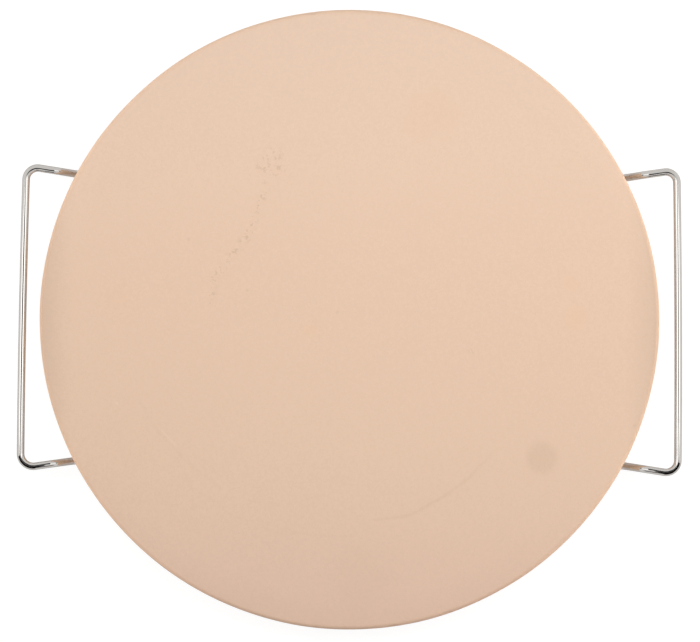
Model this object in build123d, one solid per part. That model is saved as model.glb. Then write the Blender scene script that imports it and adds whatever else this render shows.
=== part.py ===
from build123d import *
from math import acos, atan2, cos, radians, sin, sqrt, tan
import os

# A round pizza stone that lies on a rack of welded wires, with a wire handle on the left and on the right.
# Millimetres and degrees. The table is z = 0, the origin is under the middle of the stone, and +X points to
# the right handle. Bends and places of the wires are measured at the middle of the wire.

# The stone
stone_diameter = 330
stone_thickness = 12
rim_roll_width = 16  # the outer ring of the top face, which rolls off towards the edge
rim_roll_drop = 0.8
rim_top_radius = 2.4
rim_bottom_radius = 2.5

# The wire that the whole rack is bent from
wire_diameter = 4
weld_depth = 0.4  # how deep a wire is pressed into the one that it crosses
cut_end_chamfer = 0.6  # where the cut end of a wire is deburred

# How the stone lies in the rack
seat_clearance = 0.2  # under the stone
rim_clearance = 4  # between the rim and the sloping part of each arm

# The handles: a grip along Y, and two arms that slope down beside the rim and go on under the stone as rails
grip_length = 162.6  # between the points of its two corners
grip_reach = 11  # from the stone's edge out to the grip
grip_below_top = 7  # from the stone's top face down to the grip
grip_corner_radius = 6.8
arm_angle = 7.8  # how far the arms turn from X, seen from above
arm_slope_angle = 45  # how steeply they go down beside the rim
arm_knee_radius = 8

# The leg wires, each with a foot curled under at both ends
leg_inset = 59.2  # from the foot of the arms' slope in to the leg wire, along X
leg_overhang = 29  # from the rail out to the start of the curl
foot_curl_radius = 6.9
foot_length = 22

# The cross wire in the middle
centre_overhang = 12  # how far it reaches past the rails

# The most of a straight run that the bend at one of its ends may take
bend_run_share = 0.48
# The most of the wire's diameter, or of the stone's thickness, that an edge rounding may take
rounding_share = 0.45

# Heights, from the table up
stone_radius = stone_diameter / 2
wire_radius = wire_diameter / 2
foot_z = wire_radius
carrier_z = foot_z + 2 * foot_curl_radius
rail_z = carrier_z - (wire_diameter - weld_depth)
stone_bottom = carrier_z + wire_radius + seat_clearance
stone_top = stone_bottom + stone_thickness
grip_z = stone_top - grip_below_top

# The line of an arm in plan runs back from the grip's corner. A place on it is given by its reach, which is
# counted along the line from the point nearest to the middle of the stone.
grip_x = stone_radius + grip_reach
corner_y = grip_length / 2
arm_cos = cos(radians(arm_angle))
arm_sin = sin(radians(arm_angle))
arm_offset = corner_y * arm_cos - grip_x * arm_sin  # the least distance from the middle of the stone
corner_reach = grip_x * arm_cos + corner_y * arm_sin


def arm_point(reach, z):
    """The place on the right back arm's line at this reach and height."""
    return Vector(reach * arm_cos - arm_offset * arm_sin, reach * arm_sin + arm_offset * arm_cos, z)


def slope_foot_reach():
    """Where the arm starts to slope up, so that it passes the stone's bottom edge by the rim clearance.

    The line crosses the rim at a slant. The gap is worked out in the upright plane that is square to the
    rim there, where the slope looks steeper and the rounded bottom edge is a circle.
    """
    across_cos = sqrt(stone_radius**2 - arm_offset**2) / stone_radius
    across_sin = arm_offset / stone_radius
    slope = radians(arm_slope_angle)
    steepness = atan2(sin(slope), cos(slope) * across_cos)
    edge_circle_radius = stone_radius - rim_bottom_radius
    edge_circle_height = stone_bottom + rim_bottom_radius - rail_z
    gap_to_circle = rim_bottom_radius + rim_clearance + wire_radius
    foot_radius = edge_circle_radius + (gap_to_circle - edge_circle_height * cos(steepness)) / sin(steepness)
    return (foot_radius - arm_offset * across_sin) / across_cos


# The sloping part of an arm. Its low knee is where the straight rail bends up and outwards.
slope_height = grip_z - rail_z
low_knee_reach = slope_foot_reach()
high_knee_reach = low_knee_reach + slope_height / tan(radians(arm_slope_angle))
low_knee = arm_point(low_knee_reach, rail_z)
high_knee = arm_point(high_knee_reach, grip_z)
corner = arm_point(corner_reach, grip_z)
rail_y = low_knee.Y


def bend_radius(wanted, turn, run):
    """The wanted radius of a bend, or the largest that fits on its share of a straight run."""
    return min(wanted, bend_run_share * run / tan(turn / 2))


slope_length = slope_height / sin(radians(arm_slope_angle))
low_knee_turn = acos(cos(radians(arm_slope_angle)) * arm_cos)
high_knee_turn = radians(arm_slope_angle)
corner_turn = radians(90 + arm_angle)
low_knee_radius = bend_radius(arm_knee_radius, low_knee_turn, slope_length)
high_knee_radius = bend_radius(arm_knee_radius, high_knee_turn, slope_length)
corner_radius = bend_radius(grip_corner_radius, corner_turn, corner_reach - high_knee_reach)


def round_wire(path):
    """A round wire with its middle on the path."""
    section = Plane(origin=path @ 0, z_dir=path % 0) * Circle(wire_radius)
    return sweep(section, path=path)


def deburred(wire, ends):
    """The wire with a chamfer round its cut end at each of these points."""
    cut_faces = [wire.faces().sort_by_distance(end)[0] for end in ends]
    return chamfer([face.edge() for face in cut_faces], min(cut_end_chamfer, rounding_share * wire_diameter))


def baking_stone():
    """The round plate, turned from one outline: a flat underside, and a top that rolls off at the edge."""
    roll_start = stone_radius - rim_roll_width
    roll_end_z = stone_top - rim_roll_drop
    underside = Line((0, stone_bottom), (stone_radius, stone_bottom))
    wall = Line((stone_radius, stone_bottom), (stone_radius, roll_end_z))
    roll = TangentArc((roll_start, stone_top), (stone_radius, roll_end_z), tangent=(1, 0))
    top = Line((roll_start, stone_top), (0, stone_top))
    middle = Line((0, stone_top), (0, stone_bottom))
    outline = make_face([underside, wall, roll, top, middle])
    low_edge = outline.vertices().sort_by_distance((stone_radius, stone_bottom))[0]
    outline = fillet(low_edge, min(rim_bottom_radius, rounding_share * stone_thickness))
    high_edge = outline.vertices().sort_by_distance((stone_radius, roll_end_z))[0]
    outline = fillet(high_edge, min(rim_top_radius, rounding_share * stone_thickness))
    return revolve(Plane.XZ * outline, Axis.Z)


def handle_wire():
    """The right handle wire: rail, arm, grip, arm and rail, bent from one length of wire."""
    rail_end = Vector(0, rail_y, rail_z)
    back_half = [rail_end, low_knee, high_knee, corner]
    front_half = [Vector(point.X, -point.Y, point.Z) for point in reversed(back_half)]
    half_radii = [low_knee_radius, high_knee_radius, corner_radius]
    path = FilletPolyline(*back_half, *front_half, radius=half_radii + half_radii[::-1])
    return round_wire(path)


def leg_wire(x, crossed_wire):
    """A wire across the rails at this x, with its ends curled under as feet."""
    curl_y = rail_y + leg_overhang
    foot_end_y = curl_y - foot_length
    curl_tip_y = curl_y + foot_curl_radius
    curl_z = foot_z + foot_curl_radius
    path = Wire([
        Line((x, -foot_end_y, foot_z), (x, -curl_y, foot_z)).edge(),
        ThreePointArc((x, -curl_y, foot_z), (x, -curl_tip_y, curl_z), (x, -curl_y, carrier_z)).edge(),
        Line((x, -curl_y, carrier_z), (x, curl_y, carrier_z)).edge(),
        ThreePointArc((x, curl_y, carrier_z), (x, curl_tip_y, curl_z), (x, curl_y, foot_z)).edge(),
        Line((x, curl_y, foot_z), (x, foot_end_y, foot_z)).edge(),
    ])
    leg = deburred(round_wire(path), [(x, -foot_end_y, foot_z), (x, foot_end_y, foot_z)])
    return leg - crossed_wire


def centre_cross_wire(crossed_wires):
    """The straight wire over the place where the rails of the two handles meet."""
    end_y = rail_y + centre_overhang
    path = Line((0, -end_y, carrier_z), (0, end_y, carrier_z))
    cross_wire = deburred(round_wire(path), [(0, -end_y, carrier_z), (0, end_y, carrier_z)])
    for crossed_wire in crossed_wires:
        cross_wire = cross_wire - crossed_wire
    return cross_wire


right_handle = handle_wire()
left_handle = mirror(right_handle, about=Plane.YZ)
leg_x = low_knee.X - leg_inset

nodes = {
    "baking_stone": baking_stone(),
    "left_handle_wire": left_handle,
    "right_handle_wire": right_handle,
    "left_leg_wire": leg_wire(-leg_x, left_handle),
    "right_leg_wire": leg_wire(leg_x, right_handle),
    "centre_cross_wire": centre_cross_wire([left_handle, right_handle]),
}

os.makedirs("parts", exist_ok=True)
for name, shape in nodes.items():
    shape.label = name
    export_step(shape, f"parts/{name}.step")
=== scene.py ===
from math import acos, atan2, ceil, cos, pi, radians, sin, tan

import bpy
import numpy as np
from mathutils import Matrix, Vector


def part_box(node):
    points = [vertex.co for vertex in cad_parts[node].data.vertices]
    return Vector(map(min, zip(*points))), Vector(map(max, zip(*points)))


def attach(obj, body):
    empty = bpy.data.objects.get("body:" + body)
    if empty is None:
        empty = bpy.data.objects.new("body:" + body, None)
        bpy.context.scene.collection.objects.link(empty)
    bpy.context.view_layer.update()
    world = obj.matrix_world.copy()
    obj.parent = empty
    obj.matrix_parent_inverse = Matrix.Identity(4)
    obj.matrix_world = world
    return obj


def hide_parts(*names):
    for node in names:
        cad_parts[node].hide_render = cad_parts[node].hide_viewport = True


# A round pizza stone on its wire rack, seen from straight above on a white table.
# Metres. The table is z = 0, the origin is under the middle of the stone, +X points to the right handle.

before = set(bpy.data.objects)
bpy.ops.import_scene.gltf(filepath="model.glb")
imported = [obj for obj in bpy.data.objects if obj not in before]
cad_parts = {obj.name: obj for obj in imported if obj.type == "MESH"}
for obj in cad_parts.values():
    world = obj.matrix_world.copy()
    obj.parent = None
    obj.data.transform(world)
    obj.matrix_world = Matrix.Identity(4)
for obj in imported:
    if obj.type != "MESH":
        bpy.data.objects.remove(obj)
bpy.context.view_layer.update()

MM = 0.001

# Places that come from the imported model
stone_low, stone_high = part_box("baking_stone")
right_low, right_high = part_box("right_handle_wire")
leg_low, leg_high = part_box("right_leg_wire")
cross_low, cross_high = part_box("centre_cross_wire")

stone_radius = stone_high.x
stone_top = stone_high.z
stone_bottom = stone_low.z
wire_radius = (cross_high.x - cross_low.x) / 2
grip_x = right_high.x - wire_radius
grip_z = right_high.z - wire_radius
rail_z = right_low.z + wire_radius
carrier_z = leg_high.z - wire_radius
foot_z = leg_low.z + wire_radius
leg_x = (leg_low.x + leg_high.x) / 2
cross_end_y = cross_high.y

# The stone's form
rim_roll_width = 16 * MM
rim_roll_drop = 0.8 * MM
rim_top_radius = 2.4 * MM
rim_bottom_radius = 2.5 * MM

# The rim wanders in from a true circle, and its top edge dips
rim_waviness = 0.22 * MM
rim_crests = (3, 26)
edge_dip_share = 0.6  # of the waviness
edge_dip_crests = (2, 12)
wavy_start_share = 0.9  # of the stone's radius
wavy_full_share = 0.99
dip_start_height = 6 * MM  # over the underside
dip_full_depth = 2 * MM  # under the top face

# The chips of the two edges. Each has its middle a little inside the rim.
chip_count = 11
chip_depth = 0.45 * MM
chip_width = 2.2 * MM
least_chip_share = 0.5
chip_inset_share = 0.3  # of the edge's radius
chip_floor_share = 0.25
chip_slant_share = 0.75  # of its depth, both inwards and along Z
chip_flattening = 1.4

# The wires' form, with the places of the handles' bends as they look in the photo
rail_y = 77.37 * MM
corner_y = 81.18 * MM  # where the lines of an arm and the grip meet
low_knee_x = 147.28 * MM
high_knee_x = 157.98 * MM
high_knee_y = 78.48 * MM
grip_corner_radius = {"left_back": 6.1 * MM, "left_front": 6.8 * MM, "right_back": 5.7 * MM,
                      "right_front": 6.4 * MM}
knee_radius = 8 * MM
foot_curl_radius = (carrier_z - foot_z) / 2
foot_length = 22 * MM
cut_end_rounding = 0.6 * MM
# Shares of that rounding: how far in from the cut end, and how much off the wire's radius
cut_end_shares = ((0.0, 1.0), (0.3, 0.45), (1.0, 0.0))

# The photo's grips are out of true. Each lies a little nearer to the stone than in the CAD model, and leans
# in towards it at the back.
grip_inset = {"left": 0.82 * MM, "right": 0.22 * MM}
grip_lean = {"left": 1.75 * MM, "right": 1.65 * MM}
lean_start_y = -68 * MM
lean_start_x = 150 * MM
lean_full_x = 168 * MM

# The weld beads, where a wire lies over a rail and where two rails meet end to end
lap_bead_reach = 1.62 * MM
lap_bead_radius = 0.42 * MM
butt_bead_reach = wire_radius - 0.12 * MM
butt_bead_radius = 0.35 * MM
bead_swell_shares = (0.75, 0.5)  # the least of its radius, and what is added at most
bead_swell_crests = (2, 7)
bead_spread_shares = (0.96, 0.08)  # the same for its reach
bead_spread_crests = (2, 5)

# How finely the meshes are divided
stone_segments = 960
innermost_share = 0.02  # where the rings round the middle of a face begin
top_rings = 26
roll_rings = 15
edge_rings = 11
wall_rings = 4
underside_rings = 19
wire_segments = 24
bead_segments = 10
lap_bead_steps = 28
butt_bead_steps = 36
bend_step = radians(5)
run_step = 5 * MM

rng = np.random.default_rng(20)


# Mesh helpers

def smooth_step(value, low, high):
    """0 below low, 1 above high and a soft change between them."""
    share = np.clip((np.asarray(value, float) - low) / (high - low), 0, 1)
    return share * share * (3 - 2 * share)


def ring_noise(angles, lowest, highest):
    """Smooth noise round a circle, from 0 to 1, made of waves with this many to that many crests."""
    total = np.zeros_like(angles)
    for crests in range(lowest, highest + 1):
        total += rng.normal() * np.cos(crests * angles + rng.uniform(0, 2 * pi)) / np.sqrt(crests)
    return (total - total.min()) / (total.max() - total.min())


def steps_after(start, end, count):
    """This many even steps from start to end, without the start."""
    return np.linspace(start, end, count + 1)[1:]


def add_piece(name, points, faces, materials, body, replaced=()):
    """A smooth-shaded mesh piece that rides on a body."""
    mesh = bpy.data.meshes.new(name)
    mesh.from_pydata([tuple(point) for point in points], [], faces)
    mesh.polygons.foreach_set("use_smooth", [True] * len(mesh.polygons))
    for material in materials:
        mesh.materials.append(material)
    piece = bpy.data.objects.new(name, mesh)
    bpy.context.scene.collection.objects.link(piece)
    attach(piece, body)
    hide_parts(*replaced)
    return piece


def grid_faces(rows, columns):
    """Quads between rows of points that each close round on themselves."""
    faces = []
    for row in range(rows - 1):
        here = row * columns
        next_row = here + columns
        for column in range(columns):
            following = (column + 1) % columns
            faces.append((here + column, here + following, next_row + following, next_row + column))
    return faces


# Shader helpers

def add_node(tree, kind, inputs=None, **settings):
    """A node with its settings made, and its inputs set, or linked where the value is a socket."""
    made = tree.nodes.new(kind)
    for key, value in settings.items():
        setattr(made, key, value)
    for key, value in (inputs or {}).items():
        if isinstance(value, bpy.types.NodeSocket):
            tree.links.new(value, made.inputs[key])
        else:
            made.inputs[key].default_value = value
    return made


def calc(tree, operation, first, second=0.0, clamp=False):
    made = add_node(tree, "ShaderNodeMath", {0: first, 1: second}, operation=operation, use_clamp=clamp)
    return made.outputs[0]


def vector_calc(tree, operation, first, second=(0, 0, 0), scale=1.0, output="Vector"):
    made = add_node(tree, "ShaderNodeVectorMath", {0: first, 1: second, 3: scale}, operation=operation)
    return made.outputs[output]


def ramp(tree, value, low, high, start=0.0, end=1.0):
    """A soft change from start to end while the value goes from low to high."""
    sockets = {"Value": value, "From Min": low, "From Max": high, "To Min": start, "To Max": end}
    return add_node(tree, "ShaderNodeMapRange", sockets, interpolation_type="SMOOTHSTEP").outputs["Result"]


def noise(tree, place, crests_per_metre, detail=2.0, roughness=0.5, offset=(0, 0, 0)):
    """Noise from 0 to 1 with about this many crests in a metre."""
    moved = vector_calc(tree, "ADD", place, offset) if any(offset) else place
    sockets = {"Vector": moved, "Scale": crests_per_metre, "Detail": detail, "Roughness": roughness}
    return add_node(tree, "ShaderNodeTexNoise", sockets).outputs["Fac"]


def mix_colour(tree, share, first, second, blend="MIX"):
    made = add_node(tree, "ShaderNodeMix", data_type="RGBA", blend_type=blend)
    for key, value in ((0, share), (6, first), (7, second)):
        if isinstance(value, bpy.types.NodeSocket):
            tree.links.new(value, made.inputs[key])
        else:
            made.inputs[key].default_value = value if key == 0 else (*value, 1)
    return made.outputs[2]


def bumped(tree, shader, height, strength, distance):
    """Lets the height show in the shading of the surface."""
    bump = add_node(tree, "ShaderNodeBump", {"Height": height, "Strength": strength, "Distance": distance})
    tree.links.new(bump.outputs["Normal"], shader.inputs["Normal"])


def height_on(tree, place):
    return add_node(tree, "ShaderNodeSeparateXYZ", {0: place}).outputs["Z"]


def new_material(name):
    """A material with its principled shader, and the place on the piece in metres."""
    material = bpy.data.materials.new(name)
    material.use_nodes = True
    tree = material.node_tree
    shader = tree.nodes["Principled BSDF"]
    place = add_node(tree, "ShaderNodeTexCoord").outputs["Object"]
    return material, tree, shader, place


# The stone's material

stone_cooler = (0.79, 0.574, 0.430)
stone_warmer = (0.80, 0.571, 0.422)
# Painted shade: the rounded rim is darker and warmer
rim_painted_shade = (1.0, 0.965, 0.925)
# Painted light: the side wall is paler and bluer
wall_painted_light = (1.10, 1.12, 1.14)
# Painted highlight: the back half is paler
back_painted_highlight = (0.99, 1.015, 1.045)
# Painted shade: the front half is pinker and a little darker
front_painted_shade = (1.0, 0.975, 0.995)
stain_grey = (0.645, 0.452, 0.325)
stain_orange = (0.81, 0.53, 0.33)
speck_dark = (0.42, 0.27, 0.18)
scratch_pale = (0.90, 0.72, 0.58)

# Noise patterns: crests in a metre, detail and roughness
warmth_pattern = (5, 1.0, 0.5)
cloud_pattern = (9, 2.0, 0.5)
mottling_pattern = (70, 4.0, 0.6)
grain_pattern = (1500, 4.0, 0.7)
speckle_pattern = (420, 3.0, 0.7)
warmth_offset = (3, 1, 0)
sand_scale = 900
pore_scale = 650
# How much of the tone each pattern changes
cloud_share = 0.02
mottling_share = 0.025
grain_share = 0.08
sand_share = 0.03

# Where the painted tints and the painted side shade begin and end
top_start_depth = 3 * MM  # under the top face
top_full_depth = 1.2 * MM
back_start_share = 0.1  # of the stone's radius
front_start_share = 0.4
# Where the painted shade on the rim begins and where it is full
rim_shade_start = 3.5 * MM  # in from the edge
rim_shade_full = 1 * MM
# Painted shade: the top face darkens towards the two sides by the handles
side_shade_start = 21 * MM  # in from the edge
side_shade_full = 4 * MM  # out past the edge
side_shade_share = 0.145

# The marks on the top face. Places are shares of the stone's radius, from its middle.
# A spot has its place, radius, the softness of its edge, the unevenness of its outline, and its strength.
orange_spots = [
    ((0.729, 0.009), 6 * MM, 0.8, 0.5, 0.24),
    ((0.712, 0.121), 4 * MM, 0.8, 0.5, 0.20),
    ((-0.737, 0.050), 8 * MM, 0.8, 0.8, 0.12),
    ((-0.123, -0.037), 4 * MM, 0.8, 0.5, 0.22),
    ((0.258, 0.668), 14 * MM, 0.8, 0.8, 0.12),
]
grey_spots = [
    ((0.623, -0.439), 8 * MM, 0.30, 0.18, 0.33),
    ((0.044, -0.833), 15 * MM, 0.7, 0.8, 0.10),
]
scuff_spots = [((-0.256, 0.500), 7 * MM, 0.6, 0.8, 0.9)]
speck_form = (0.5, 0.5, 1.0)  # softness, unevenness and strength of every speck
dark_spots = [
    ((-0.519, 0.253), 0.9 * MM, *speck_form),
    ((-0.327, 0.090), 0.7 * MM, *speck_form),
    ((-0.037, 0.022), 0.8 * MM, *speck_form),
    ((0.920, -0.334), 0.9 * MM, *speck_form),
]
pale_spots = [((-0.744, -0.277), 0.9 * MM, *speck_form)]
# A stroke has its start, end, width and strength
dark_strokes = [
    ((0.384, -0.094), (0.392, -0.106), 0.5 * MM, 1.0),
    ((0.394, -0.091), (0.402, -0.108), 0.5 * MM, 1.0),
]
pale_strokes = [((-0.600, -0.362), (-0.552, -0.412), 0.7 * MM, 0.9)]
trail_places = [(-0.272, 0.429), (-0.325, 0.268), (-0.389, 0.193), (-0.437, 0.122), (-0.446, 0.057)]
trail_width = 4 * MM
scuff_strokes = [(start, end, trail_width, 1.0) for start, end in zip(trail_places, trail_places[1:])]
# A rub of a round pan has its radius, width, first and last degrees from +X, and its strength
pan_middle = (-0.06, 0.03)
pan_rubs = [
    (115.5 * MM, 1.5 * MM, -82, -38, 0.34),
    (112 * MM, 1.6 * MM, -160, -118, 0.15),
    (120 * MM, 1.4 * MM, -135, -70, 0.10),
]
pan_wander = 9 * MM
pan_wander_crests = 35  # in a metre
pan_fade_share = 1 / 3  # of the arc's half, from its middle, before it fades
outline_crests = 1.3  # in a spot's radius
outline_detail = 3.0
speckle_range = (0.53, 0.62)
scuff_strength = 0.75
rub_strength = 0.6
speck_strength = 0.13
pale_strength = 0.28

# The stone's tooth
grain_height_share = 0.6
pore_height_share = 0.4
pore_range = (0.05, 0.25)
tooth_strength = 0.35
tooth_depth = 0.06 * MM
mottling_range = (0.2, 0.8)
stone_roughness = (0.82, 0.93)
stone_specular = 0.2


def on_stone(place):
    """A place given as shares of the stone's radius."""
    return (place[0] * stone_radius, place[1] * stone_radius, 0)


def of_strength(tree, mask, strength):
    return calc(tree, "MULTIPLY", mask, strength)


def spot(tree, flat, place, radius, softness, unevenness, strength):
    """A soft-edged patch with an uneven outline."""
    away = vector_calc(tree, "DISTANCE", flat, on_stone(place), output="Value")
    ripple = noise(tree, flat, outline_crests / radius, outline_detail, offset=on_stone(place[::-1]))
    wobble = calc(tree, "MULTIPLY", calc(tree, "SUBTRACT", ripple, 0.5), unevenness * 2 * radius)
    away = calc(tree, "ADD", away, wobble)
    mask = ramp(tree, away, radius * (1 - softness), radius * (1 + softness), 1.0, 0.0)
    return of_strength(tree, mask, strength)


def stroke(tree, flat, start, end, width, strength):
    """A soft line from start to end."""
    begin = Vector(on_stone(start))
    along = Vector(on_stone(end)) - begin
    from_begin = vector_calc(tree, "SUBTRACT", flat, begin)
    reached = vector_calc(tree, "DOT_PRODUCT", from_begin, along, output="Value")
    share = calc(tree, "DIVIDE", reached, along.length_squared, clamp=True)
    nearest = vector_calc(tree, "SCALE", along, scale=share)
    away = vector_calc(tree, "DISTANCE", from_begin, nearest, output="Value")
    return of_strength(tree, ramp(tree, away, 0.0, width, 1.0, 0.0), strength)


def pan_rub(tree, flat, radius, width, first_degrees, last_degrees, strength):
    """A thin rub mark along part of a circle, fading out at its ends."""
    offset = vector_calc(tree, "SUBTRACT", flat, on_stone(pan_middle))
    ripple = calc(tree, "SUBTRACT", noise(tree, flat, pan_wander_crests), 0.5)
    wander = calc(tree, "MULTIPLY", ripple, pan_wander)
    away = calc(tree, "ADD", vector_calc(tree, "LENGTH", offset, output="Value"), wander)
    away = calc(tree, "ABSOLUTE", calc(tree, "SUBTRACT", away, radius))
    middle = radians((first_degrees + last_degrees) / 2)
    half = radians(abs(last_degrees - first_degrees) / 2)
    facing = vector_calc(tree, "DOT_PRODUCT", vector_calc(tree, "NORMALIZE", offset),
                         (cos(middle), sin(middle), 0), output="Value")
    within = ramp(tree, facing, cos(half), cos(half * pan_fade_share))
    mask = calc(tree, "MULTIPLY", ramp(tree, away, 0.0, width, 1.0, 0.0), within)
    return of_strength(tree, mask, strength)


def marks(tree, flat, spots=(), strokes=(), rubs=()):
    """One mask for all of these marks, each place with the strongest mark on it."""
    masks = [spot(tree, flat, *values) for values in spots]
    masks += [stroke(tree, flat, *values) for values in strokes]
    masks += [pan_rub(tree, flat, *values) for values in rubs]
    total = masks[0]
    for mask in masks[1:]:
        total = calc(tree, "MAXIMUM", total, mask)
    return total


def stone_material():
    material, tree, shader, place = new_material("fired_ceramic")
    parts = add_node(tree, "ShaderNodeSeparateXYZ", {0: place})
    flat = vector_calc(tree, "MULTIPLY", place, (1, 1, 0))
    reach = vector_calc(tree, "LENGTH", flat, output="Value")
    on_top = ramp(tree, parts.outputs["Z"], stone_top - top_start_depth, stone_top - top_full_depth)

    # Tone: broad firing clouds, mottling, fine grain and sand
    clouds = noise(tree, place, *cloud_pattern)
    mottling = noise(tree, place, *mottling_pattern)
    grain = noise(tree, place, *grain_pattern)
    sand = add_node(tree, "ShaderNodeTexVoronoi", {"Vector": place, "Scale": sand_scale})
    sand_tone = add_node(tree, "ShaderNodeSeparateColor", {0: sand.outputs["Color"]}).outputs[0]
    tone = 1.0
    for pattern, share in (
        (clouds, cloud_share),
        (mottling, mottling_share),
        (grain, grain_share),
        (sand_tone, sand_share),
    ):
        change = calc(tree, "MULTIPLY", calc(tree, "SUBTRACT", pattern, 0.5), share)
        tone = calc(tree, "ADD", change, tone)

    # Painted shade: the top face is darker towards the two sides, by the handles
    sideways = calc(tree, "ABSOLUTE", parts.outputs["X"])
    side_shade = ramp(tree, sideways, stone_radius - side_shade_start, stone_radius + side_shade_full)
    side_shade = calc(tree, "MULTIPLY", side_shade, on_top)
    side_shade = of_strength(tree, side_shade, side_shade_share)
    tone = calc(tree, "MULTIPLY", tone, calc(tree, "SUBTRACT", 1.0, side_shade))

    warmth = noise(tree, place, *warmth_pattern, offset=warmth_offset)
    colour = mix_colour(tree, warmth, stone_cooler, stone_warmer)
    colour = vector_calc(tree, "SCALE", colour, scale=tone)
    back_half = ramp(tree, parts.outputs["Y"], back_start_share * stone_radius, stone_radius)
    front_half = ramp(tree, parts.outputs["Y"], -front_start_share * stone_radius, -stone_radius)
    rim = ramp(tree, reach, stone_radius - rim_shade_start, stone_radius - rim_shade_full)
    on_wall = calc(tree, "SUBTRACT", 1.0, on_top)
    # Painted light and shade: a paler back half, a pinker front half, a darker rim and a paler side wall
    for mask, tint in (
        (back_half, back_painted_highlight),
        (front_half, front_painted_shade),
        (rim, rim_painted_shade),
        (on_wall, wall_painted_light),
    ):
        colour = mix_colour(tree, mask, colour, tint, "MULTIPLY")

    # Marks on the top face
    speckle = ramp(tree, noise(tree, place, *speckle_pattern), *speckle_range)
    scuffs = calc(tree, "MULTIPLY", marks(tree, flat, scuff_spots, scuff_strokes), speckle)
    for mask, stain, strength in (
        (marks(tree, flat, orange_spots), stain_orange, 1.0),
        (marks(tree, flat, grey_spots), stain_grey, 1.0),
        (scuffs, stain_grey, scuff_strength),
        (marks(tree, flat, rubs=pan_rubs), stain_grey, rub_strength),
        (marks(tree, flat, dark_spots, dark_strokes), speck_dark, speck_strength),
        (marks(tree, flat, pale_spots, pale_strokes), scratch_pale, pale_strength),
    ):
        share = calc(tree, "MULTIPLY", of_strength(tree, mask, strength), on_top)
        colour = mix_colour(tree, share, colour, stain)
    tree.links.new(colour, shader.inputs["Base Color"])

    # Pores and grain give the face its tooth
    cells = add_node(tree, "ShaderNodeTexVoronoi", {"Vector": place, "Scale": pore_scale})
    pores = ramp(tree, cells.outputs["Distance"], *pore_range)
    height = calc(tree, "ADD", calc(tree, "MULTIPLY", grain, grain_height_share),
                  calc(tree, "MULTIPLY", pores, pore_height_share))
    bumped(tree, shader, height, tooth_strength, tooth_depth)
    roughness = ramp(tree, mottling, *mottling_range, *stone_roughness)
    tree.links.new(roughness, shader.inputs["Roughness"])
    shader.inputs["Specular IOR Level"].default_value = stone_specular
    return material


# The metal

chrome_bright = (0.56, 0.535, 0.51)
chrome_dull = (0.54, 0.515, 0.49)
chrome_edge = (0.55, 0.53, 0.50)
# Two patterns follow the wire: the lines from drawing it, and waves. A stretch is the crests in a metre
# along the wire and round it, and the pattern on it is noise with one crest in each of these.
drawn_stretch = (60, 900, 1)
drawn_pattern = (1.0, 3.0, 0.6)
wave_stretch = (140, 140, 1)
wave_pattern = (1.0, 2.0, 0.5)
smear_pattern = (160, 3.0, 0.6)
smear_range = (0.45, 0.75)
handled_roughness = (0.045, 0.12)
worn_height = 0.6 * MM  # over the table, under the feet
worn_roughness = 0.22
drawn_share = 0.04  # in the roughness
drawn_height_share = 0.08
chrome_bump = (0.04, 0.05 * MM)  # its strength and depth

weld_dark = (0.30, 0.275, 0.25)
weld_bright = (0.52, 0.50, 0.47)
weld_pattern = (900, 4.0, 0.6)
weld_colour_range = (0.35, 0.65)
weld_roughness_range = (0.3, 0.7)
weld_roughness = (0.5, 0.28)
weld_bump = (0.5, 0.08 * MM)


def chrome_material():
    material, tree, shader, place = new_material("bright_chrome")
    along = add_node(tree, "ShaderNodeUVMap", uv_map="wire").outputs["UV"]
    drawn = noise(tree, vector_calc(tree, "MULTIPLY", along, drawn_stretch), *drawn_pattern)
    smears = noise(tree, place, *smear_pattern)
    handled = ramp(tree, smears, *smear_range, *handled_roughness)
    worn = ramp(tree, height_on(tree, place), 0.0, worn_height, worn_roughness, 0.0)
    drawn_roughness = calc(tree, "MULTIPLY", drawn, drawn_share)
    roughness = calc(tree, "ADD", handled, calc(tree, "ADD", worn, drawn_roughness))
    tree.links.new(roughness, shader.inputs["Roughness"])
    colour = mix_colour(tree, smears, chrome_bright, chrome_dull)
    tree.links.new(colour, shader.inputs["Base Color"])
    shader.inputs["Metallic"].default_value = 1.0
    shader.inputs["Specular Tint"].default_value = (*chrome_edge, 1)
    waves = noise(tree, vector_calc(tree, "MULTIPLY", along, wave_stretch), *wave_pattern)
    height = calc(tree, "ADD", waves, calc(tree, "MULTIPLY", drawn, drawn_height_share))
    bumped(tree, shader, height, *chrome_bump)
    return material


def weld_material():
    material, tree, shader, place = new_material("spot_weld")
    patches = noise(tree, place, *weld_pattern)
    colour = mix_colour(tree, ramp(tree, patches, *weld_colour_range), weld_dark, weld_bright)
    tree.links.new(colour, shader.inputs["Base Color"])
    roughness = ramp(tree, patches, *weld_roughness_range, *weld_roughness)
    tree.links.new(roughness, shader.inputs["Roughness"])
    shader.inputs["Metallic"].default_value = 1.0
    bumped(tree, shader, patches, *weld_bump)
    return material


stone_finish = stone_material()
chrome_finish = chrome_material()
weld_finish = weld_material()


# The stone

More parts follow.
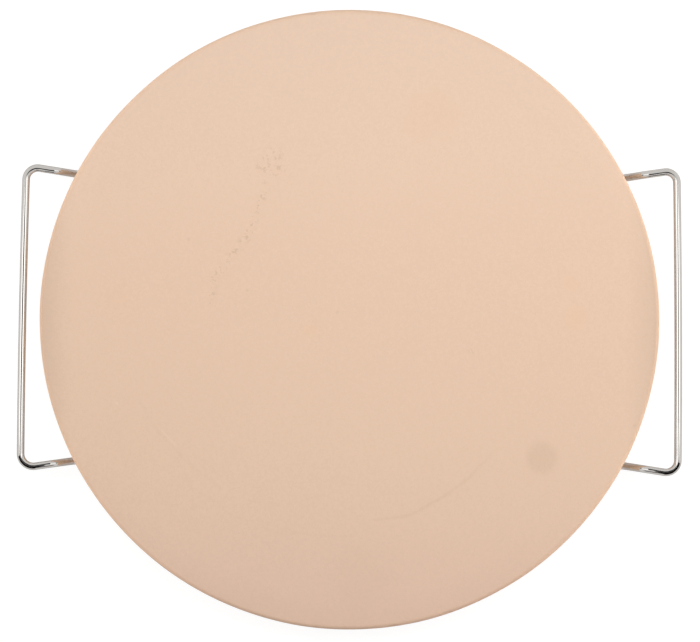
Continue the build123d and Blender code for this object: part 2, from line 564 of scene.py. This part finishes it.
def stone_profile():
    """Half of the stone's section as (reach, height), from the middle of the top round to the underside."""
    roll_start = stone_radius - rim_roll_width
    profile = [(share * roll_start, stone_top) for share in np.linspace(innermost_share, 1, top_rings)]
    roll_radius = (rim_roll_width**2 + rim_roll_drop**2) / (2 * rim_roll_drop)
    roll_turn = 2 * atan2(rim_roll_drop, rim_roll_width)
    tangent = rim_top_radius * tan((pi / 2 - roll_turn) / 2)
    for share in steps_after(0, 1, roll_rings):
        reach = roll_start + share * (rim_roll_width - tangent)
        into = reach - roll_start
        profile.append((reach, stone_top - roll_radius + (roll_radius**2 - into**2) ** 0.5))
    high_reach = stone_radius - rim_top_radius
    high_z = profile[-1][1] - rim_top_radius * cos(roll_turn)
    for turn in steps_after(pi / 2 - roll_turn, 0, edge_rings):
        profile.append((high_reach + rim_top_radius * cos(turn), high_z + rim_top_radius * sin(turn)))
    low_reach = stone_radius - rim_bottom_radius
    low_z = stone_bottom + rim_bottom_radius
    for share in steps_after(0, 1, wall_rings):
        profile.append((stone_radius, high_z + share * (low_z - high_z)))
    for turn in steps_after(0, pi / 2, edge_rings):
        profile.append((low_reach + rim_bottom_radius * cos(turn), low_z - rim_bottom_radius * sin(turn)))
    for share in steps_after(1, innermost_share, underside_rings):
        profile.append((share * low_reach, stone_bottom))
    return profile


def chipped(reach, height, angles, on_top_edge):
    """The stone's points with one more chip, at a random angle."""
    at_angle = rng.uniform(0, 2 * pi)
    size = rng.uniform(least_chip_share, 1.0)
    if on_top_edge:
        edge_z = stone_top - rim_roll_drop - chip_inset_share * rim_top_radius
    else:
        edge_z = stone_bottom + chip_inset_share * rim_bottom_radius
    around = (np.mod(angles - at_angle + pi, 2 * pi) - pi)[None, :] * stone_radius
    up = (height - edge_z) * chip_flattening
    outward = reach - (stone_radius - chip_inset_share * rim_top_radius)
    away = np.sqrt(around**2 + up**2 + outward**2) / (chip_width * size)
    dent = chip_depth * size * (1 - smooth_step(away, chip_floor_share, 1.0))
    to_middle = -1 if on_top_edge else 1
    return reach - dent * chip_slant_share, height + dent * chip_slant_share * to_middle


def stone_piece():
    """The stone, with a rim that wanders a little and small chips on its edges."""
    profile = np.array(stone_profile())
    angles = np.linspace(0, 2 * pi, stone_segments, endpoint=False)
    reach = np.repeat(profile[:, :1], stone_segments, axis=1)
    height = np.repeat(profile[:, 1:], stone_segments, axis=1)

    near_rim = smooth_step(reach, wavy_start_share * stone_radius, wavy_full_share * stone_radius)
    reach = reach - near_rim * rim_waviness * ring_noise(angles, *rim_crests)[None, :]
    upper = smooth_step(height, stone_bottom + dip_start_height, stone_top - dip_full_depth)
    dip = ring_noise(angles, *edge_dip_crests)[None, :]
    height = height - upper * near_rim * rim_waviness * edge_dip_share * dip
    for chip in range(chip_count):
        reach, height = chipped(reach, height, angles, on_top_edge=chip % 2 == 0)

    rings = np.stack([reach * np.cos(angles), reach * np.sin(angles), height], axis=2)
    points = [tuple(point) for point in rings.reshape(-1, 3)]
    rows = len(profile)
    faces = [face[::-1] for face in grid_faces(rows, stone_segments)]
    top_middle = len(points)
    points.append((0.0, 0.0, stone_top))
    points.append((0.0, 0.0, stone_bottom))
    last = (rows - 1) * stone_segments
    for column in range(stone_segments):
        following = (column + 1) % stone_segments
        faces.append((top_middle, column, following))
        faces.append((top_middle + 1, last + following, last + column))
    return add_piece("stone", points, faces, [stone_finish], "stone", ["baking_stone"])


# The wires

def rounded_corner(before, corner, after, radius):
    """Points of the arc that rounds a corner."""
    back = (before - corner).normalized()
    on = (after - corner).normalized()
    turn = pi - acos(back.dot(on))
    tangent = radius * tan(turn / 2)
    middle = corner + (back + on).normalized() * (radius / cos(turn / 2))
    start = corner + back * tangent - middle
    side = -back * radius
    steps = max(2, ceil(turn / bend_step))
    return [middle + start * cos(turn * i / steps) + side * sin(turn * i / steps) for i in range(steps + 1)]


def bent_line(corners, radii):
    """A line through the corners, each rounded with its radius."""
    line = [corners[0]]
    for before, corner, after, radius in zip(corners, corners[1:], corners[2:], radii):
        line += rounded_corner(before, corner, after, radius)
    return line + [corners[-1]]


def filled_in(line):
    """The line with points added, so that no step on a straight run is long."""
    filled = [line[0]]
    for end in line[1:]:
        start = filled[-1]
        steps = max(1, ceil((end - start).length / run_step))
        filled += [start.lerp(end, (i + 1) / steps) for i in range(steps)]
    return filled


def deburred(stations):
    """The stations of a tube with its two cut ends rounded."""
    for end, inward in ((0, 1), (-1, -1)):
        centre, direction, radius, at = stations[end]
        rounded = []
        for inset_share, size_share in cut_end_shares:
            inset = inset_share * cut_end_rounding * inward
            size = size_share * cut_end_rounding
            rounded.append((centre + direction * inset, direction, radius - size, at + inset))
        stations = rounded + stations[1:] if end == 0 else stations[:-1] + rounded[::-1]
    return stations


def wire_tube(line, blunt_ends):
    """Points and faces of a wire along a line that starts out level, and how far along each point lies."""
    line = filled_in(line)
    run = [0.0]
    for start, end in zip(line, line[1:]):
        run.append(run[-1] + (end - start).length)
    stations = []
    for i, centre in enumerate(line):
        before = line[max(i - 1, 0)]
        after = line[min(i + 1, len(line) - 1)]
        stations.append((centre, (after - before).normalized(), wire_radius, run[i]))
    if not blunt_ends:
        stations = deburred(stations)
    side = stations[0][1].cross(Vector((0, 0, 1)))
    points = []
    runs = []
    for centre, direction, radius, at in stations:
        side = (side - direction * side.dot(direction)).normalized()
        other = direction.cross(side)
        for segment in range(wire_segments):
            turn = 2 * pi * segment / wire_segments
            points.append(centre + (side * cos(turn) + other * sin(turn)) * radius)
            runs.append(at)
    faces = grid_faces(len(stations), wire_segments)
    first_cap = tuple(range(wire_segments))[::-1]
    last_cap = tuple(range((len(stations) - 1) * wire_segments, len(stations) * wire_segments))
    return points, faces + [first_cap, last_cap], runs


def lumpy_ring(centre, axis, reach, bead_radius, steps):
    """A bead of weld metal round a joint."""
    first = axis.orthogonal().normalized()
    second = axis.cross(first)
    angles = np.linspace(0, 2 * pi, steps, endpoint=False)
    swell = bead_swell_shares[0] + bead_swell_shares[1] * ring_noise(angles, *bead_swell_crests)
    spread = bead_spread_shares[0] + bead_spread_shares[1] * ring_noise(angles, *bead_spread_crests)
    points = []
    for i, angle in enumerate(angles):
        out = first * cos(angle) + second * sin(angle)
        radius = bead_radius * swell[i]
        for j in range(bead_segments):
            turn = 2 * pi * j / bead_segments
            outward = out * (reach * spread[i] + radius * cos(turn))
            points.append(centre + outward + axis * radius * sin(turn))
    faces = []
    for i in range(steps):
        here = i * bead_segments
        following = ((i + 1) % steps) * bead_segments
        for j in range(bead_segments):
            beside = (j + 1) % bead_segments
            faces.append((here + j, following + j, following + beside, here + beside))
    return points, faces


def wire_piece(name, line, replaced, blunt_ends=False, beads=()):
    """A chromed wire, with the weld beads on it in the same mesh."""
    points, faces, runs = wire_tube(line, blunt_ends)
    wire_faces = len(faces)
    for bead_points, bead_faces in beads:
        first = len(points)
        points += bead_points
        faces += [tuple(first + corner for corner in face) for face in bead_faces]
        runs += [0.0] * len(bead_points)
    finishes = [chrome_finish, weld_finish]
    piece = add_piece(name, points, faces, finishes, "rack", [replaced])
    mesh = piece.data
    layer = mesh.uv_layers.new(name="wire")
    for polygon in mesh.polygons:
        if polygon.index >= wire_faces:
            polygon.material_index = 1
        columns = [mesh.loops[i].vertex_index % wire_segments for i in polygon.loop_indices]
        wraps = max(columns) - min(columns) > wire_segments / 2 and len(columns) == 4
        for i, column in zip(polygon.loop_indices, columns):
            share = (column + wire_segments if wraps and column == 0 else column) / wire_segments
            layer.data[i].uv = (runs[mesh.loops[i].vertex_index], share * 2 * pi * wire_radius)
    return piece


def leaning(point, side):
    """A point of a handle wire, moved in along the line of the arm, where the grip was bent out of true."""
    lean = grip_lean[side] * max(0.0, (point.y - lean_start_y) / (corner_y - lean_start_y)) ** 2
    outward = float(smooth_step(abs(point.x), lean_start_x, lean_full_x))
    shift = (grip_inset[side] + lean) * outward
    arm_slant = (corner_y - high_knee_y) / (grip_x - high_knee_x)
    along_y = shift * arm_slant * max(-1.0, min(1.0, point.y / high_knee_y))
    return Vector((point.x - shift * (1 if point.x > 0 else -1), point.y - along_y, point.z))


def handle_piece(side, sign):
    """A handle: rail, arm, grip, arm and rail, bent from one wire."""
    back = [
        Vector((0, rail_y, rail_z)),
        Vector((sign * low_knee_x, rail_y, rail_z)),
        Vector((sign * high_knee_x, high_knee_y, grip_z)),
        Vector((sign * grip_x, corner_y, grip_z)),
    ]
    front = [Vector((point.x, -point.y, point.z)) for point in reversed(back)]
    radii = [knee_radius, knee_radius, grip_corner_radius[f"{side}_back"],
             grip_corner_radius[f"{side}_front"], knee_radius, knee_radius]
    line = filled_in(bent_line(back + front, radii))
    line = [leaning(point, side) for point in line]
    return wire_piece(f"{side}_handle", line, f"{side}_handle_wire", blunt_ends=True)


def lap_beads(x):
    """The beads where the wire at this x lies over the two rails."""
    contacts = [Vector((x, sign * rail_y, (rail_z + carrier_z) / 2)) for sign in (-1, 1)]
    up = Vector((0, 0, 1))
    return [lumpy_ring(contact, up, lap_bead_reach, lap_bead_radius, lap_bead_steps) for contact in contacts]


def leg_piece(side, sign):
    """A wire across the rails that carries the stone, with both ends curled under as feet."""
    x = sign * leg_x
    curl_y = leg_high.y - wire_radius - foot_curl_radius
    foot_end_y = curl_y - foot_length
    curl_z = foot_z + foot_curl_radius
    back = []
    for turn in np.linspace(pi / 2, -pi / 2, ceil(pi / bend_step) + 1):
        curl = Vector((x, curl_y + foot_curl_radius * cos(turn), curl_z + foot_curl_radius * sin(turn)))
        back.append(curl)
    back.append(Vector((x, foot_end_y, foot_z)))
    front = [Vector((point.x, -point.y, point.z)) for point in reversed(back)]
    return wire_piece(f"{side}_leg", front + back, f"{side}_leg_wire", beads=lap_beads(x))


def centre_piece():
    """The middle cross wire, with the beads that tie the two handles' rails end to end."""
    line = [Vector((0, -cross_end_y, carrier_z)), Vector((0, cross_end_y, carrier_z))]
    beads = lap_beads(0)
    for sign in (-1, 1):
        butt = Vector((0, sign * rail_y, rail_z))
        beads.append(lumpy_ring(butt, Vector((1, 0, 0)), butt_bead_reach, butt_bead_radius, butt_bead_steps))
    return wire_piece("centre_cross", line, "centre_cross_wire", beads=beads)


sides = (("left", -1), ("right", 1))

stone_piece()
for side, sign in sides:
    handle_piece(side, sign)
    leg_piece(side, sign)
centre_piece()


# The table and the studio

white = (1, 1, 1, 1)
table_half = 4.0
plain_start = 0.30  # how far from the middle the table begins to turn plain white
plain_full = 3 * plain_start
# The table's white is part glow, which shadows don't reach, and part matt white
camera_shares = (0.91, 0.15)
gloss_shares = (0.20, 0.78)
bounce_shares = (0.50, 0.45)

# The lamps. A size is a width and a depth.
world_fill = 0.13
key_place = (0.214, 0.124, 0.72)
key_aim = (0.214, 0.124, 0.0)
key_size = (1.6, 0.30)
key_strength = 4.42
side_lamp_x = 1.5
side_lamp_y = 0.1
side_lamp_z = 0.25
side_lamp_aim = (0.0, 0.1, 0.02)
side_lamp_size = (1.6, 0.45)
side_lamp_strength = 5.2

# What the chrome mirrors: a long ceiling light across both grips, lit side walls and dark flags
ceiling_range = ((-2.2, 2.2), (-0.15, 0.17))
ceiling_z = 1.3
ceiling_brightness = 2.2
ceiling_fade = ("X", 0.9, 2.1, 1.15)
wall_x = 2.2
wall_range = (-0.5, 2.2)
wall_heights = (0.0, 1.1)
wall_brightness = 1.15
# A flag hangs straight above each grip
grip_flag_x = {"left": (-0.230, -0.110), "right": (0.136, 0.222)}
grip_flag_y = (-0.10, 0.10)
grip_flag_z = 0.243
grip_flag_fade = ("Y", 0.045, 0.10, 1.0)
# Flags stand round the bend of each front corner, along its arm, and lie over the bend's outside
bend_x = 0.170
bend_y = -0.075
flag_reach = 0.050
flag_turns = (10, 30, 50, 70, 90)  # degrees, from straight outwards to straight at the front
flag_heights = (0.038, 0.113)
flag_brightness = 0.01
arm_flag_x = 0.12
arm_flag_heights = (0.045, 0.088)
arm_flag_brightness = 0.22
high_flag_near = ((0.003, -0.010), (0.010, -0.003))  # its inner corners, from the middle of the bend


def seen_directly(tree):
    """1 where the camera, a gloss or glass looks, and 0 for light that bounces off matt surfaces."""
    rays = add_node(tree, "ShaderNodeLightPath").outputs
    seen = calc(tree, "ADD", rays["Is Camera Ray"], rays["Is Glossy Ray"], clamp=True)
    return calc(tree, "ADD", seen, rays["Is Transmission Ray"], clamp=True)


def glow(tree, strength):
    return add_node(tree, "ShaderNodeEmission", {"Color": white, "Strength": strength}).outputs[0]


def glowing_white(tree, glow_share, white_share):
    matt = add_node(tree, "ShaderNodeBsdfDiffuse", {"Color": (white_share, white_share, white_share, 1)})
    return add_node(tree, "ShaderNodeAddShader", {0: glow(tree, glow_share), 1: matt.outputs[0]}).outputs[0]


def mixed(tree, share, first, second):
    return add_node(tree, "ShaderNodeMixShader", {0: share, 1: first, 2: second}).outputs[0]


def level_corners(x_range, y_range, z):
    near, far = y_range
    return [(x_range[0], near, z), (x_range[1], near, z), (x_range[1], far, z), (x_range[0], far, z)]


def flat_sheet(name, corners, material_name):
    """A flat sheet, and its material with nothing but the output in it."""
    mesh = bpy.data.meshes.new(name)
    mesh.from_pydata(corners, [], [tuple(range(len(corners)))])
    sheet = bpy.data.objects.new(name, mesh)
    bpy.context.scene.collection.objects.link(sheet)
    material = bpy.data.materials.new(material_name)
    material.use_nodes = True
    material.node_tree.nodes.remove(material.node_tree.nodes["Principled BSDF"])
    mesh.materials.append(material)
    return sheet, material


def table_piece():
    """The white table. It keeps soft shadows near the stone and is plain white further out."""
    table_range = (-table_half, table_half)
    table, material = flat_sheet("table", level_corners(table_range, table_range, 0), "white_table")
    tree = material.node_tree
    place = add_node(tree, "ShaderNodeTexCoord").outputs["Object"]
    reach = vector_calc(tree, "LENGTH", place, output="Value")
    far = ramp(tree, reach, plain_start, plain_full)
    glossy = add_node(tree, "ShaderNodeLightPath").outputs["Is Glossy Ray"]
    near_look = mixed(tree, glossy, glowing_white(tree, *camera_shares), glowing_white(tree, *gloss_shares))
    look = mixed(tree, far, near_look, glow(tree, 1.0))
    both = mixed(tree, seen_directly(tree), glowing_white(tree, *bounce_shares), look)
    tree.links.new(both, tree.nodes["Material Output"].inputs["Surface"])


def studio_card(name, corners, brightness, fade=None):
    """A flat card that only shows in gloss: a bright panel of the studio, or a dark flag.

    A fade is an axis, where the change starts and ends along it, to both sides, and the brightness there.
    """
    card, material = flat_sheet(name, corners, name)
    material.cycles.emission_sampling = "NONE"
    tree = material.node_tree
    if fade:
        axis, start, end, far_brightness = fade
        place = add_node(tree, "ShaderNodeTexCoord").outputs["Object"]
        along = add_node(tree, "ShaderNodeSeparateXYZ", {0: place}).outputs[axis]
        brightness = ramp(tree, calc(tree, "ABSOLUTE", along), start, end, brightness, far_brightness)
    tree.links.new(glow(tree, brightness), tree.nodes["Material Output"].inputs["Surface"])
    card.visible_camera = False
    card.visible_diffuse = False
    card.visible_transmission = False
    card.visible_shadow = False


def upright_card(name, start, end, heights, brightness):
    corners = [(*start, heights[0]), (*end, heights[0]), (*end, heights[1]), (*start, heights[1])]
    studio_card(name, corners, brightness)


def soft_lamp(name, place, aim, size, strength):
    """A flat soft lamp turned towards aim, with this radiance. It doesn't show in gloss."""
    lamp = bpy.data.lights.new(name, "AREA")
    lamp.shape = "RECTANGLE"
    lamp.size, lamp.size_y = size
    lamp.energy = strength * pi * size[0] * size[1]
    light = bpy.data.objects.new(name, lamp)
    bpy.context.scene.collection.objects.link(light)
    light.location = place
    light.rotation_euler = (Vector(aim) - Vector(place)).to_track_quat("-Z", "Y").to_euler()
    light.visible_glossy = False
    light.visible_camera = False


def white_world(fill):
    """A white world, dimmed to fill for the light that falls on matt surfaces."""
    world = bpy.data.worlds.new("studio")
    bpy.context.scene.world = world
    world.use_nodes = True
    tree = world.node_tree
    strength = ramp(tree, seen_directly(tree), 0.0, 1.0, fill, 1.0)
    tree.links.new(strength, tree.nodes["Background"].inputs["Strength"])
    tree.nodes["Background"].inputs["Color"].default_value = white


def corner_flags(side, sign):
    """The dark flags round the front corner of the rack on this side."""
    turns = [radians(turn) for turn in flag_turns]
    bend = [(sign * (bend_x + flag_reach * cos(turn)), bend_y - flag_reach * sin(turn)) for turn in turns]
    for i, (first, second) in enumerate(zip(bend, bend[1:])):
        upright_card(f"{side}_flag_{i}", first, second, flag_heights, flag_brightness)
    arm_end = (sign * arm_flag_x, bend[-1][1])
    upright_card(f"{side}_arm_flag", bend[-1], arm_end, arm_flag_heights, arm_flag_brightness)
    near = [(sign * (bend_x + out), bend_y + along) for out, along in high_flag_near]
    studio_card(f"{side}_high_flag", [(x, y, flag_heights[1]) for x, y in bend + near], flag_brightness)


table_piece()
white_world(world_fill)
soft_lamp("key_light", key_place, key_aim, key_size, key_strength)
for side, sign in sides:
    lamp_place = (sign * side_lamp_x, side_lamp_y, side_lamp_z)
    soft_lamp(f"{side}_light", lamp_place, side_lamp_aim, side_lamp_size, side_lamp_strength)
studio_card("ceiling_light", level_corners(*ceiling_range, ceiling_z), ceiling_brightness, ceiling_fade)
for side, sign in sides:
    grip_flag = level_corners(grip_flag_x[side], grip_flag_y, grip_flag_z)
    studio_card(f"{side}_grip_flag", grip_flag, 0.0, grip_flag_fade)
    wall_ends = [(sign * wall_x, y) for y in wall_range]
    upright_card(f"{side}_wall", *wall_ends, wall_heights, wall_brightness)
for side, sign in sides:
    corner_flags(side, sign)


# The camera, a little over a metre above the middle of the stone

camera_place = (17.2 * MM, -9.1 * MM, 1102 * MM)
camera_turn = (0.4456, 0.8799, 0.4624)  # degrees about X, Y and Z
camera_sensor = 36  # millimetres, as the lens
camera_lens = 103.89

camera_data = bpy.data.cameras.new("camera")
camera_data.sensor_width = camera_sensor
camera_data.lens = camera_lens
camera = bpy.data.objects.new("camera", camera_data)
bpy.context.scene.collection.objects.link(camera)
camera.location = camera_place
camera.rotation_euler = [radians(angle) for angle in camera_turn]
bpy.context.scene.camera = camera
bpy.context.scene.view_settings.view_transform = "Standard"

bpy.context.view_layer.update()
